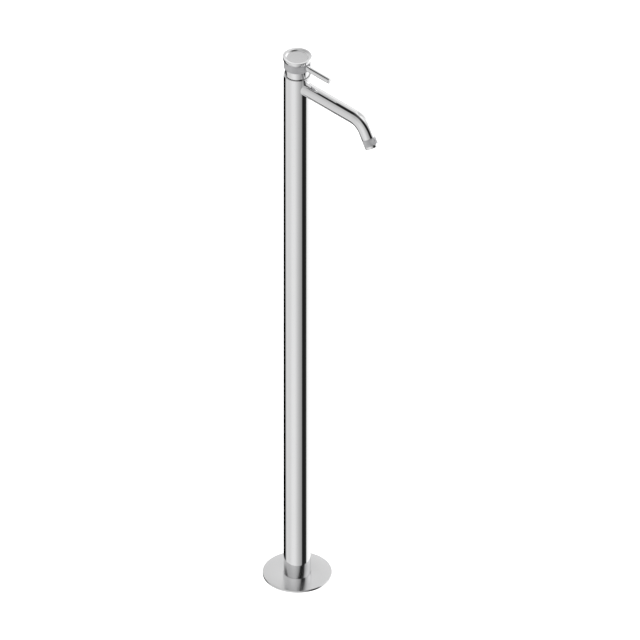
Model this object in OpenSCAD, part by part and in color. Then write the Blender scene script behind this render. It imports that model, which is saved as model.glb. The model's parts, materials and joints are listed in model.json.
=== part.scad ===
// Floor-standing basin mixer: round column, angled spout, side pin lever on a cartridge head.
// Millimetres, +Z up. The origin is the centre of the foot on the floor, and the spout points along +X.

/* [Foot] */
// Diameter of the round cover plate
cover_d = 121; // [112:1:140]
// Height of the cover plate above the floor
cover_h = 3.5; // [3.3:0.1:5]
// Thickness of the cover plate's top
cover_skin = 0.9; // [0.7:0.1:1.2]
// Width of the rim that the cover plate stands on
cover_rim = 1.2; // [0.8:0.1:2]
// Diameter of the circle of floor screws
anchor_pcd = 88; // [80:1:94]
// Number of floor screws
anchor_count = 4; // [3:1:6]
// Diameter of each floor screw's hole
anchor_hole_d = 5.5; // [4.5:0.1:6]
// Diameter of each floor screw's countersink
anchor_head_d = 9.2; // [8:0.1:9.4]
// Height of the tube on the flange that the column slides over
spigot_h = 60; // [52:1:90]
// Wall of that tube
spigot_wall = 1.5; // [1.2:0.1:1.7]
// Thread diameter of the two grub screws at the back of the foot
foot_screw_d = 5; // [4:0.5:6]
// Height of those screws above the floor
foot_screw_z = 48; // [40:1:50]
// Angle of each screw to the straight back
foot_screw_angle = 30; // [20:1:45]

/* [Column] */
// Diameter of the column
column_d = 48; // [47.5:0.1:52]
// Wall of the column tube
column_wall = 1.5; // [1.2:0.1:1.7]
// Height of the column's top edge above the floor
column_top = 1067; // [850:1:1200]
// Bevel on the column's top edge
column_edge = 0.5; // [0.2:0.1:0.8]

/* [Spout] */
// Diameter of the spout tube
spout_d = 25; // [24.8:0.1:27]
// Wall of the spout tube
spout_wall = 1.5; // [1.2:0.1:1.7]
// Depth of the spout's axis below the column's top edge
spout_drop = 21.7; // [21.5:0.1:30]
// Distance from the column's axis to the start of the bend
spout_straight = 140.8; // [100:0.1:200]
// Radius of the bend at the middle of the tube
bend_r = 33; // [26:1:60]
// Angle of the bend
bend_angle = 60; // [40:1:80]
// Length of the tube past the bend
outlet_tube = 13.4; // [12:0.1:30]

/* [Outlet] */
// Height of the textured ring at the outlet
outlet_ring_h = 12.9; // [11:0.1:16]
// Height of the polished lip below it
outlet_lip_h = 5; // [4.5:0.1:7]
// Diameter of the outlet's mouth
mouth_d = 17.8; // [16.5:0.1:18.5]
// Diameter of one hole of the outlet's screen
screen_hole_d = 1.1; // [0.8:0.1:1.4]
// Distance between neighbouring holes of the screen
screen_pitch = 2; // [1.8:0.1:3]
// Thickness of the screen
screen_t = 2; // [1:0.1:2.5]

/* [Neck and handle] */
// Diameter of the polished neck
neck_d = 43; // [42.6:0.1:43.4]
// Visible height of the neck below the handle
neck_h = 14.8; // [14:0.1:20]
// Diameter of the textured handle ring
ring_d = 46.8; // [46:0.1:47.5]
// Height of the textured handle ring
ring_h = 14.9; // [14.6:0.1:18]
// Depth of the texture on both rings
knurl_depth = 0.3; // [0.1:0.05:0.4]
// Number of ridges round the handle ring
knurl_count = 110; // [60:1:140]
// Diameter of the cap's rim
cap_d = 51; // [49:0.1:56]
// Height of the cap above the ring
cap_h = 8.4; // [8:0.1:12]
// Diameter of the flat floor of the cap's dish
dish_d = 37.4; // [30:0.1:40]
// Depth of the dish
dish_depth = 3.3; // [2:0.1:4.2]
// Diameter of the lever
lever_d = 10; // [9:0.1:10.2]
// Distance from the column's axis to the lever's tip
lever_reach = 79.6; // [60:0.1:120]
// Height of the lever's axis above the ring's lower edge
lever_rise = 8.9; // [8.7:0.1:9.1]
// Diameter of the handle's hub over the stem
hub_d = 16; // [15:0.1:17]
// Diameter of the lever's threaded stud
stud_d = 6; // [5:0.1:6]
// Diameter of the grub screw that holds the handle
grip_screw_d = 4; // [3:0.1:5]

/* [Cartridge] */
// Diameter of the cartridge
cartridge_d = 35; // [34.6:0.1:35.4]
// How far the lever lifts, in degrees
lever_lift = 25; // [20:1:26]
// Diameter of the turret that turns in the cartridge
turret_d = 24; // [23:0.1:24.6]
// Width of the stem's square bar
stem_w = 7.6; // [7:0.1:8]
// Distance from the pivot pin down to the stem's ball
stem_arm = 9; // [8.9:0.1:9.4]
// Diameter of the stem's ball
ball_d = 6; // [5.6:0.1:6.2]
// Diameter of the pivot pin
pin_d = 3; // [2.5:0.1:3.4]
// Thickness of the fixed ceramic disc
fixed_disc_t = 3; // [2.5:0.1:3.5]
// Diameter of the moving ceramic disc
moving_disc_d = 21; // [20.4:0.1:21.2]
// Thickness of the moving ceramic disc
moving_disc_t = 2.4; // [2:0.1:3]
// Thickness of the cartridge's base
base_t = 3; // [2.5:0.1:3.5]
// Diameter of an inlet port in the discs
inlet_port_d = 4.4; // [4:0.1:4.6]
// Diameter of the outlet port in the discs
outlet_port_d = 5.6; // [5:0.1:6]

/* [Valve body and supplies] */
// Depth of the valve body below the spout's axis
valve_below = 29; // [26:1:40]
// Diameter of the spout nipple's stub in the valve body
nipple_d = 14; // [13:0.1:14.4]
// Diameter of the water way to the spout
water_d = 8.4; // [7:0.1:8.6]
// Distance between the two supply hoses
hose_pitch = 20; // [19.8:0.1:20.2]
// Outer diameter of a supply hose
hose_d = 12; // [11:0.1:13]
// Bore of a supply hose
hose_bore_d = 8; // [7.8:0.1:9]
// Thread diameter of a hose's upper end
hose_thread_d = 10; // [9:0.1:10.4]
// Width across the flats of the hose's upper hexagon
hose_hex = 11; // [10.6:0.1:13]
// Length of a crimped ferrule
ferrule_h = 16; // [12:0.5:20]
// Width across the flats of a union nut
union_hex = 19; // [18.4:0.1:19.2]
// Bore of a union nut's thread
union_bore_d = 15; // [14.4:0.1:15.2]
// Length of a union nut's thread
union_thread_h = 8; // [7:0.5:9]
// Height of the union nuts above the floor
union_z = 14; // [10:1:20]

/* [Hidden] */
$fn = 96;

// Overshoot of a cut past the face that it opens
cut = 1;
// Gap between pieces that are screwed or pressed together
seat_gap = 0.1;
// Radial gap of a thread or a push fit
push_gap = 0.05;
// Radial running clearance of a turning fit
run_gap = 0.06;
// Gap between pieces that move past each other
move_gap = 0.3;
// Gap round a tube or a pin that slips through a plate or a ring
slip_gap = 0.15;
// Gap of a loose fit
loose_gap = 0.2;
// Small bevel on visible edges
bevel = 0.4;
// Depth of the hexagon socket in a grub screw
socket_depth = 2;
// Step from the ridges' roots down to the plain lands beside them
knurl_step = 0.04;

// Foot
cover_r = cover_d / 2;
cover_hollow = cover_h - cover_skin;
flange_t = cover_hollow - seat_gap;
flange_play = 0.8;
flange_r = cover_r - cover_rim - flange_play;
column_r = column_d / 2;
column_in = column_r - column_wall;
spigot_r = column_in - loose_gap;
spigot_in = spigot_r - spigot_wall;
foot_screw_r = foot_screw_d / 2;
anchor_start = 45;

// Spout
spout_r = spout_d / 2;
spout_in = spout_r - spout_wall;
spout_z = column_top - spout_drop;
bend_end = [spout_straight + bend_r * sin(bend_angle), 0, spout_z - bend_r * (1 - cos(bend_angle))];
weld_gap = 0.02;
// How far inside the bend the outlet's stretch of tube starts
join_lap = 0.5;
// How far that stretch's walls lie inside the bend's walls
join_step = 0.05;

// Outlet, measured along its axis from the end of the bend
ring_s = outlet_tube + seat_gap;
lip_s = outlet_tube + outlet_ring_h;
mouth_s = lip_s + outlet_lip_h;
mouth_r = mouth_d / 2;
sleeve_r = spout_in - push_gap;
sleeve_wall = 1.6;
sleeve_bore = sleeve_r - sleeve_wall;
sleeve_depth = 10.5;
thread_step = 0.5;
thread_r = sleeve_r - thread_step;
thread_h = 7;
thread_end = ring_s + thread_h;
seal_overlap = 0.6;
seal_t = 1.4;
insert_s = thread_end + seat_gap + seal_t + seat_gap;
insert_flange_t = 1.2;
insert_r = mouth_r - seat_gap;
insert_wall = 1;
insert_recess = 1.2;
insert_end = mouth_s - insert_recess;
lip_seat = insert_s + insert_flange_t + push_gap;
lip_skirt_r = thread_r;
screen_margin = 0.2;
screen_r = insert_r - insert_wall - screen_hole_d / 2 - screen_margin;
outlet_knurl_count = round(knurl_count * spout_d / ring_d);

// Neck and handle
neck_r = neck_d / 2;
skirt_gap = 0.4;
joint_depth = 1.6;
neck_foot = column_top - joint_depth;
skirt_r = neck_r + skirt_gap;
ring_z = column_top + neck_h;
skirt_lift = skirt_r * tan(lever_lift / 2) + push_gap;
pivot_z = ring_z - skirt_lift;
shoulder_r = sqrt(skirt_r * skirt_r + skirt_lift * skirt_lift) - skirt_gap;
lever_r = lever_d / 2;
lever_z = ring_z + lever_rise;
swing_gap = 0.8;
neck_top = lever_z - lever_r - swing_gap;
neck_skin = 1.2;
neck_wall = 1.4;
neck_in = neck_r - neck_wall;
hub_swing = 6;
neck_opening = hub_d / 2 + hub_swing;
neck_slope = 2.6;
ring_r = ring_d / 2;
cap_z = ring_z + ring_h;
cap_top = cap_z + cap_h;
cap_r = cap_d / 2;
cap_skin = 2.5;
cap_roof = cap_top - dish_depth - cap_skin;
plug_h = 4;
plug_r = skirt_r - push_gap;
plug_wall = 2.35;
plug_in = plug_r - plug_wall;
rim_steps = 7;
// Points of the cap's side: how far each lies inside the rim, and how high above the ring
side_points = [[1, 1.5], [0.3, 4.2]];
rim_edge = 0.7;
hub_r = hub_d / 2;
stud_r = stud_d / 2;
hub_margin = 0.8;
hub_z = lever_z - stud_r - hub_margin;
socket_w = stem_w + 2 * seat_gap;
stem_play = 0.6;
stem_top = cap_roof - stem_play;

// Cartridge, heights from the pivot pin's axis
turret_r = turret_d / 2;
turret_top = 5;
turret_flange = -5;
turret_foot = -7;
turret_flange_w = 3;
flange_gap = 0.2;
turret_flange_r = turret_r + turret_flange_w;
cavity_r = turret_flange_r + move_gap;
ball_r = ball_d / 2;
ball_play = 0.2;
ball_bore = ball_r + ball_play;
travel = stem_arm * sin(lever_lift);
carrier_r = cavity_r - travel - move_gap;
tilt_gap = 0.4;
carrier_top = turret_foot - tilt_gap;
carrier_floor = -(stem_arm + ball_r) - tilt_gap;
carrier_web = 1;
disc_top = carrier_floor - carrier_web;
disc_r = moving_disc_d / 2;
disc_foot = disc_top - moving_disc_t;
carrier_rise = 0.5;
dish_top = disc_top + carrier_rise;
disc_stand = 1.2;
dish_foot = disc_foot + disc_stand;
carrier_half_w = 9;
cheek_in = carrier_half_w + move_gap;
cheek_out = 12;
cheek_half_l = 5;
slot_swing = 4.2;
slot_back = -(stem_w / 2 + slot_swing);
slot_front = travel + ball_r + tilt_gap;
slot_half_w = stem_w / 2 + move_gap;
fixed_top = disc_foot - seat_gap;
fixed_foot = fixed_top - fixed_disc_t;
fixed_r = cavity_r - move_gap;
base_top = fixed_foot - seat_gap;
base_foot = base_top - base_t;
seal_recess = 0.8;
groove_w = 1.5;
seal_w = groove_w - seat_gap;
seal_stand = 0.4;
seat_foot = base_foot - seal_stand;
cartridge_r = cartridge_d / 2;
nut_seat = -2;
collar_wall = 1.8;
collar_r = turret_r + collar_wall;
collar_top = 2.8;
pin_inset = 0.8;
pin_play = 0.01;
pin_half = turret_r - pin_inset;
bar_foot = -3.5;
arm_r = 2.4;

// Ports of the cartridge: [x, y] of each water way
inlet_port = [4.8, 6];
inlet_way = [5, 8];
outlet_port = [-3.6, 0];
way_margin = 0.4;
inlet_way_r = inlet_port_d / 2 + way_margin;
outlet_way_r = outlet_port_d / 2;

// Valve body
bore_r = cartridge_r + seat_gap;
valve_seat = pivot_z + seat_foot;
valve_r = column_in - loose_gap;
valve_foot = spout_z - valve_below;
valve_rise = 3.5;
valve_top = pivot_z + valve_rise;
valve_neck_r = neck_in - seat_gap;
valve_neck_wall = 1.4;
nut_thread_r = valve_neck_r - valve_neck_wall;
water_r = water_d / 2;
nipple_r = nipple_d / 2;
socket_web = 5.7;
socket_start = inlet_way[0] + inlet_way_r + socket_web;
supply_y = hose_pitch / 2;
supply_way_r = 3.5;
supply_thread_h = 12;
supply_rise = 7;

// Spout nipple, distances from the column's axis
head_gap = 0.6;
head_start = column_r + head_gap;
head_l = 9.4;
head_r = spout_in - seat_gap;
head_groove = head_start + head_l / 2;
stub_groove_x = 3.6;
stub_groove = socket_start + stub_groove_x;
groove_half_w = 1;
head_seal_r = 0.83;
stub_seal_r = 0.55;
seal_play = 0.02;

// Hoses
hose_r = hose_d / 2;
hose_bore = hose_bore_d / 2;
hose_thread_r = hose_thread_d / 2;
barb_r = hose_bore - seat_gap;
barb_wall = 1.2;
hex_h = 5;
hex_foot = valve_foot - seat_gap - hex_h;
hose_top = hex_foot - move_gap;
ferrule_t = 0.9;
ferrule_gap = 0.6;
union_bore_r = union_bore_d / 2;
relief_z = union_z + union_thread_h;
washer_t = 1;
collar_t = 1.8;
collar_play = 0.2;
relief_play = 0.4;
relief_h = washer_t + collar_t + relief_play;
web_z = relief_z + relief_h;
web_h = 2;
tail_rise = 1;
tail_neck_r = 5.2;
tail_neck_top = web_z + web_h + tail_rise;
hose_foot = tail_neck_top + move_gap;

// Places of the anchor screws
function on_circle(r, a) = [r * cos(a), r * sin(a), 0];

// Points of the cap's rim: a quarter of an ellipse that rolls over from the edge down to the dish's floor
function rounded_rim(edge_r, floor_r, depth) = [
    for (i = [0 : rim_steps])
        let (a = 90 * i / rim_steps)
        [edge_r - (edge_r - floor_r) * sin(a), cap_top - depth * (1 - cos(a))]
];

// Points of a ring of ridges, crests and roots in turn
function ridge_points(count, root_r, crest_r) = [
    for (i = [0 : 2 * count - 1])
        let (a = 180 * i / count, r = i % 2 == 0 ? crest_r : root_r)
        [r * cos(a), r * sin(a)]
];

module cylinder_z(r, z0, z1) {
    translate([0, 0, z0]) cylinder(r = r, h = z1 - z0);
}

module cylinder_x(r, x0, x1) {
    translate([x0, 0, 0]) rotate([0, 90, 0]) cylinder(r = r, h = x1 - x0);
}

module sleeve_z(r_out, r_in, z0, z1) {
    difference() {
        cylinder_z(r_out, z0, z1);
        cylinder_z(r_in, z0 - cut, z1 + cut);
    }
}

module hexagon(across, h) {
    linear_extrude(height = h) circle(r = across / sqrt(3), $fn = 6);
}

module at_pivot() {
    translate([0, 0, pivot_z]) children();
}

module at_outlet() {
    translate(bend_end) rotate([0, 90 + bend_angle, 0]) children();
}

module at_each_supply() {
    for (side = [-1, 1]) translate([0, side * supply_y, 0]) children();
}

module at_each_foot_screw() {
    for (side = [-1, 1]) {
        translate([0, 0, foot_screw_z]) rotate([0, 0, 180 + side * foot_screw_angle]) children();
    }
}

// A ring with a band of ridges between two plain lands, which lie a little below the ridges' roots
module ridged_ring(r, r_in, h, count) {
    land = 0.6;
    root = r - knurl_depth;
    difference() {
        union() {
            cylinder(r = root - knurl_step, h = h);
            translate([0, 0, land]) linear_extrude(height = h - 2 * land) {
                polygon(ridge_points(count, root, r));
            }
        }
        translate([0, 0, -cut]) cylinder(r = r_in, h = h + 2 * cut);
    }
}

// Foot

module base_cover_plate() {
    hole_r = column_r + slip_gap;
    rim_in = cover_r - cover_rim;
    color("silver") rotate_extrude() polygon([
        [hole_r, cover_hollow],
        [rim_in, cover_hollow],
        [rim_in, 0],
        [cover_r, 0],
        [cover_r, cover_h - bevel],
        [cover_r - bevel, cover_h],
        [hole_r, cover_h]
    ]);
}

module anchor_hole() {
    sink = (anchor_head_d - anchor_hole_d) / 2;
    translate([0, 0, -cut]) cylinder(d = anchor_hole_d, h = flange_t + 2 * cut);
    translate([0, 0, flange_t - sink]) cylinder(d1 = anchor_hole_d, d2 = anchor_head_d, h = sink);
}

module mounting_flange() {
    color("gray") difference() {
        cylinder(r = flange_r, h = flange_t);
        cylinder_z(spigot_in, -cut, flange_t + cut);
        for (i = [0 : anchor_count - 1]) {
            translate(on_circle(anchor_pcd / 2, anchor_start + i * 360 / anchor_count)) anchor_hole();
        }
    }
}

// The short tube that is welded on the flange and that the column slides over
module flange_tube() {
    color("gray") difference() {
        sleeve_z(spigot_r, spigot_in, flange_t + weld_gap, spigot_h);
        at_each_foot_screw() cylinder_x(foot_screw_r + push_gap, spigot_in - cut, spigot_r + cut);
    }
}

module foot_grub_screws() {
    screw_in = spigot_in + loose_gap;
    screw_out = column_r - move_gap;
    color("dimgray") at_each_foot_screw() difference() {
        cylinder_x(foot_screw_r, screw_in, screw_out);
        translate([screw_out - socket_depth, 0, 0]) rotate([0, 90, 0]) {
            hexagon(foot_screw_r, socket_depth + cut);
        }
    }
}

// Column

module column_tube() {
    color("silver") difference() {
        rotate_extrude() polygon([
            [column_in, flange_t],
            [column_r, flange_t],
            [column_r, column_top - column_edge],
            [column_r - column_edge, column_top],
            [column_in, column_top]
        ]);
        translate([0, 0, spout_z]) cylinder_x(nipple_r + move_gap, 0, column_r + cut);
        at_each_foot_screw() cylinder_x(foot_screw_r + seat_gap, column_in - cut, column_r + cut);
    }
}

// Spout

// The bend: a sector of a full ring of tube, in the ring's own plane
module spout_bend() {
    reach = 2 * (bend_r + spout_d);
    intersection() {
        rotate_extrude() translate([bend_r, 0]) difference() {
            circle(r = spout_r);
            circle(r = spout_in);
        }
        linear_extrude(height = 2 * spout_d, center = true) polygon([
            [0, 0],
            [0, reach],
            [reach * sin(bend_angle / 2), reach * cos(bend_angle / 2)],
            [reach * sin(bend_angle), reach * cos(bend_angle)]
        ]);
    }
}

module spout_tube() {
    color("silver") difference() {
        union() {
            translate([0, 0, spout_z]) rotate([0, 90, 0]) {
                sleeve_z(spout_r, spout_in, column_r / 2, spout_straight);
            }
            translate([spout_straight, 0, spout_z - bend_r]) rotate([90, 0, 0]) spout_bend();
            at_outlet() sleeve_z(spout_r - join_step, spout_in + join_step, -join_lap, outlet_tube);
        }
        cylinder_z(column_r + weld_gap, spout_z - spout_d, spout_z + spout_d);
    }
}

module spout_end_sleeve() {
    start = outlet_tube - sleeve_depth;
    color("goldenrod") at_outlet() difference() {
        union() {
            cylinder_z(sleeve_r, start, outlet_tube);
            cylinder_z(thread_r, outlet_tube - cut, thread_end);
        }
        cylinder_z(sleeve_bore, start - cut, thread_end + cut);
    }
}

module aerator_ring() {
    color("darkgray") at_outlet() translate([0, 0, ring_s]) {
        ridged_ring(spout_r, thread_r + push_gap, lip_s - ring_s, outlet_knurl_count);
    }
}

module aerator_lip() {
    lip_bevel = 1.2;
    color("silver") at_outlet() rotate_extrude() polygon([
        [mouth_r, lip_seat],
        [lip_skirt_r, lip_seat],
        [lip_skirt_r, lip_s + push_gap],
        [spout_r - knurl_depth, lip_s + push_gap],
        [spout_r - knurl_depth, mouth_s - lip_bevel],
        [spout_r - knurl_depth - lip_bevel, mouth_s],
        [mouth_r, mouth_s]
    ]);
}

module screen_holes(z0, z1) {
    rows = floor(screen_r / (screen_pitch * sin(60)));
    for (row = [-rows : rows], step = [-2 * rows : 2 * rows]) {
        x = (step + (row % 2 == 0 ? 0 : 0.5)) * screen_pitch;
        y = row * screen_pitch * sin(60);
        if (sqrt(x * x + y * y) <= screen_r) {
            translate([x, y, 0]) cylinder_z(screen_hole_d / 2, z0, z1);
        }
    }
}

module aerator_insert() {
    screen_s = insert_end - screen_t;
    color("whitesmoke") at_outlet() difference() {
        union() {
            cylinder_z(lip_skirt_r - push_gap, insert_s, insert_s + insert_flange_t);
            cylinder_z(insert_r, insert_s, insert_end);
        }
        cylinder_z(insert_r - insert_wall, insert_s - cut, screen_s);
        screen_holes(screen_s - cut, insert_end + cut);
    }
}

module aerator_seal() {
    start = thread_end + seat_gap;
    color("black") at_outlet() {
        sleeve_z(thread_r - seat_gap, sleeve_bore - seal_overlap, start, start + seal_t);
    }
}

// Valve body and the way to the spout

module valve_body() {
    color("goldenrod") difference() {
        union() {
            cylinder_z(valve_r, valve_foot, neck_foot);
            cylinder_z(valve_neck_r, neck_foot - cut, valve_top);
        }
        cylinder_z(bore_r, valve_seat, valve_top + cut);
        cylinder_z(nut_thread_r, pivot_z + nut_seat, valve_top + cut);
        translate([outlet_port[0], outlet_port[1], 0]) cylinder_z(outlet_way_r, spout_z, valve_seat + cut);
        for (side = [-1, 1]) {
            translate([inlet_way[0], side * inlet_way[1], 0]) {
                cylinder_z(inlet_way_r, spout_z - water_d, valve_seat + cut);
            }
        }
        at_each_supply() {
            cylinder_z(supply_way_r, valve_foot - cut, spout_z + supply_rise);
            cylinder_z(hose_thread_r, valve_foot - cut, valve_foot + supply_thread_h);
        }
        translate([0, 0, spout_z]) {
            cylinder_x(water_r, outlet_port[0] - outlet_way_r - cut, valve_r + cut);
            cylinder_x(nipple_r + push_gap, socket_start, valve_r + cut);
        }
    }
}

module spout_nipple() {
    color("goldenrod") translate([0, 0, spout_z]) difference() {
        union() {
            cylinder_x(nipple_r, socket_start + seat_gap, head_start + cut);
            cylinder_x(head_r, head_start, head_start + head_l);
        }
        cylinder_x(water_r, socket_start - cut, head_start + head_l + cut);
        rotate([0, 90, 0]) {
            sleeve_z(nipple_r + cut, nipple_r + push_gap - 2 * (stub_seal_r + seal_play),
                stub_groove - groove_half_w, stub_groove + groove_half_w);
            sleeve_z(head_r + cut, spout_in - 2 * (head_seal_r + seal_play),
                head_groove - groove_half_w, head_groove + groove_half_w);
        }
    }
}

// A round seal that fills its groove up to the wall at wall_r
module round_seal(wall_r, seal_r, x) {
    rotate([0, 90, 0]) translate([0, 0, x]) rotate_extrude() {
        translate([wall_r - seal_r - seal_play, 0]) circle(r = seal_r);
    }
}

module spout_o_rings() {
    color("black") translate([0, 0, spout_z]) {
        round_seal(nipple_r + push_gap, stub_seal_r, stub_groove);
        round_seal(spout_in, head_seal_r, head_groove);
    }
}

// Neck

module neck_sleeve() {
    color("silver") intersection() {
        rotate_extrude() polygon([
            [neck_in, neck_foot],
            [neck_r, neck_foot],
            [neck_r, neck_top],
            [neck_opening, neck_top],
            [neck_opening, neck_top - neck_skin],
            [neck_in - neck_slope, neck_top - neck_skin],
            [neck_in, neck_top - neck_skin - neck_slope]
        ]);
        at_pivot() union() {
            sphere(r = shoulder_r);
            cylinder_z(neck_r + cut, neck_foot - pivot_z - cut, 0);
        }
    }
}

// Cartridge, fixed pieces

module cartridge_body() {
    color("whitesmoke") at_pivot() difference() {
        union() {
            cylinder_z(cartridge_r, base_foot, nut_seat - seat_gap);
            cylinder_z(collar_r, nut_seat - cut, collar_top);
        }
        cylinder_z(cavity_r, base_foot - cut, turret_flange + flange_gap);
        cylinder_z(turret_r + run_gap, turret_flange, collar_top + cut);
    }
}

module water_ways(inlet, inlet_r, outlet_r, z0, z1) {
    for (side = [-1, 1]) translate([inlet[0], side * inlet[1], 0]) cylinder_z(inlet_r, z0, z1);
    translate([outlet_port[0], outlet_port[1], 0]) cylinder_z(outlet_r, z0, z1);
}

module cartridge_base() {
    groove_top = base_foot + seal_recess;
    color("whitesmoke") at_pivot() difference() {
        cylinder_z(cavity_r - seat_gap, base_foot, base_top);
        water_ways(inlet_way, inlet_way_r, outlet_way_r, base_foot - cut, base_foot + base_t / 2);
        water_ways(inlet_port, inlet_port_d / 2, outlet_way_r, groove_top, base_top + cut);
        water_ways(inlet_way, inlet_way_r + groove_w, outlet_way_r + groove_w, base_foot - cut, groove_top);
    }
}

module cartridge_seals() {
    seal_top = base_foot + seal_recess - push_gap;
    color("black") at_pivot() difference() {
        water_ways(inlet_way, inlet_way_r + seal_w, outlet_way_r + seal_w, seat_foot, seal_top);
        water_ways(inlet_way, inlet_way_r + seat_gap, outlet_way_r + seat_gap, seat_foot - cut, base_top);
    }
}

module fixed_disc() {
    color("ivory") at_pivot() difference() {
        cylinder_z(fixed_r, fixed_foot, fixed_top);
        water_ways(inlet_port, inlet_port_d / 2, outlet_way_r, fixed_foot - cut, fixed_top + cut);
    }
}

module cartridge_nut() {
    slot_w = 3;
    slot_depth = 1.6;
    color("goldenrod") at_pivot() difference() {
        cylinder_z(nut_thread_r - push_gap, nut_seat, valve_top - pivot_z);
        cylinder_z(collar_r + seat_gap, nut_seat - cut, valve_top - pivot_z + cut);
        for (i = [0 : 2]) rotate([0, 0, 60 * i]) {
            translate([-neck_r, -slot_w / 2, valve_top - pivot_z - slot_depth]) {
                cube([neck_d, slot_w, slot_depth + cut]);
            }
        }
    }
}

// Cartridge, turning and sliding pieces

module turret() {
    color("steelblue") at_pivot() difference() {
        union() {
            cylinder_z(turret_r, turret_foot, turret_top);
            cylinder_z(turret_flange_r, turret_foot, turret_flange);
            for (y = [cheek_in, -cheek_out]) translate([-cheek_half_l, y, dish_top + move_gap]) {
                cube([2 * cheek_half_l, cheek_out - cheek_in, turret_foot - dish_top]);
            }
        }
        translate([slot_back, -slot_half_w, dish_top]) {
            cube([slot_front - slot_back, 2 * slot_half_w, turret_top - dish_top + cut]);
        }
        rotate([90, 0, 0]) translate([0, 0, -turret_flange_r]) cylinder(d = pin_d, h = 2 * turret_flange_r);
    }
}

module pivot_pin() {
    color("lightgray") at_pivot() rotate([90, 0, 0]) translate([0, 0, -pin_half]) {
        cylinder(r = pin_d / 2 - pin_play, h = 2 * pin_half);
    }
}

module disc_carrier() {
    color("orange") at_pivot() difference() {
        union() {
            cylinder_z(carrier_r, dish_foot, dish_top);
            intersection() {
                cylinder_z(carrier_r, dish_foot, carrier_top);
                translate([-carrier_r, -carrier_half_w, dish_foot]) {
                    cube([2 * carrier_r, 2 * carrier_half_w, carrier_top - dish_foot]);
                }
            }
        }
        cylinder_z(disc_r + push_gap, dish_foot - cut, disc_top);
        cylinder_z(ball_bore, carrier_floor, carrier_top + cut);
    }
}

// Underside pocket of the moving disc: it always covers the outlet and meets the inlets as it slides
module mixing_pocket() {
    pocket_depth = moving_disc_t / 2;
    front = inlet_port[0] - inlet_port_d / 2 - way_margin;
    back = -2;
    front_half = 7.6;
    back_half = 3.6;
    pocket_shift = 0.6;
    pocket_margin = 1;
    translate([0, 0, disc_foot - cut]) linear_extrude(height = pocket_depth + cut) {
        polygon([[front, -front_half], [front, front_half], [back, back_half], [back, -back_half]]);
        translate([outlet_port[0] - pocket_shift, 0]) circle(r = outlet_way_r + pocket_margin);
    }
}

module moving_disc() {
    color("ivory") at_pivot() difference() {
        cylinder_z(disc_r, disc_foot, disc_top);
        mixing_pocket();
    }
}

// Handle

module stem() {
    color("lightgray") at_pivot() difference() {
        union() {
            translate([-stem_w / 2, -stem_w / 2, bar_foot]) {
                cube([stem_w, stem_w, stem_top - pivot_z - bar_foot]);
            }
            cylinder_z(arm_r, -stem_arm, bar_foot + cut);
            translate([0, 0, -stem_arm]) sphere(r = ball_r);
        }
        rotate([90, 0, 0]) translate([0, 0, -stem_w]) cylinder(r = pin_d / 2 + push_gap, h = 2 * stem_w);
    }
}

module handle_cap() {
    color("silver") difference() {
        union() {
            rotate_extrude() polygon([
                [0, cap_roof],
                [plug_in, cap_roof],
                [plug_in, cap_z - plug_h],
                [plug_r, cap_z - plug_h],
                [plug_r, cap_z + push_gap],
                [ring_r, cap_z + push_gap],
                each [for (point = side_points) [cap_r - point[0], cap_z + point[1]]],
                [cap_r, cap_top - rim_edge],
                each rounded_rim(cap_r - bevel, dish_d / 2, dish_depth),
                [0, cap_top - dish_depth]
            ]);
            cylinder_z(hub_r, hub_z, cap_roof + cut);
        }
        translate([-socket_w / 2, -socket_w / 2, hub_z - cut]) {
            cube([socket_w, socket_w, cap_roof - hub_z + cut]);
        }
        translate([0, 0, lever_z]) {
            cylinder_x(stud_r + push_gap, 0, hub_r + cut);
            cylinder_x(lever_r + slip_gap, plug_in - cut, plug_r + cut);
            cylinder_x(grip_screw_d / 2 + push_gap, -hub_r - cut, 0);
            cylinder_x(grip_screw_d / 2 + loose_gap, -plug_r - cut, cut - plug_in);
        }
    }
}

module handle_ring() {
    color("darkgray") difference() {
        translate([0, 0, ring_z]) ridged_ring(ring_r, skirt_r, ring_h, knurl_count);
        translate([0, 0, lever_z]) {
            cylinder_x(lever_r + slip_gap, 0, ring_r + cut);
            cylinder_x(grip_screw_d / 2 + loose_gap, -ring_r - cut, 0);
        }
    }
}

module lever_pin() {
    stud_start = socket_w / 2 + seat_gap;
    shoulder = hub_r + seat_gap;
    color("silver") translate([0, 0, lever_z]) rotate([0, 90, 0]) rotate_extrude() polygon([
        [0, stud_start],
        [stud_r, stud_start],
        [stud_r, shoulder],
        [lever_r, shoulder],
        [lever_r, lever_reach - bevel],
        [lever_r - bevel, lever_reach],
        [0, lever_reach]
    ]);
}

module handle_grub_screw() {
    screw_in = socket_w / 2 + seat_gap;
    color("dimgray") translate([0, 0, lever_z]) rotate([0, 0, 180]) difference() {
        cylinder_x(grip_screw_d / 2, screw_in, hub_r - loose_gap);
        translate([hub_r - socket_depth, 0, 0]) rotate([0, 90, 0]) {
            hexagon(grip_screw_d / 2, socket_depth + cut);
        }
    }
}

// Supplies

module hose_nipples() {
    color("goldenrod") at_each_supply() difference() {
        union() {
            cylinder_z(hose_thread_r - push_gap, hex_foot + cut, valve_foot + supply_thread_h - cut);
            translate([0, 0, hex_foot]) hexagon(hose_hex, hex_h);
            cylinder_z(barb_r, hex_foot - ferrule_h, hex_foot + cut);
        }
        cylinder_z(barb_r - barb_wall, hex_foot - ferrule_h - cut, valve_foot + supply_thread_h);
    }
}

module supply_hose() {
    sleeve_z(hose_r, hose_bore, hose_foot, hose_top);
}

module cold_hose() {
    color("slategray") translate([0, supply_y, 0]) supply_hose();
}

module hot_hose() {
    color("slategray") translate([0, -supply_y, 0]) supply_hose();
}

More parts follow.
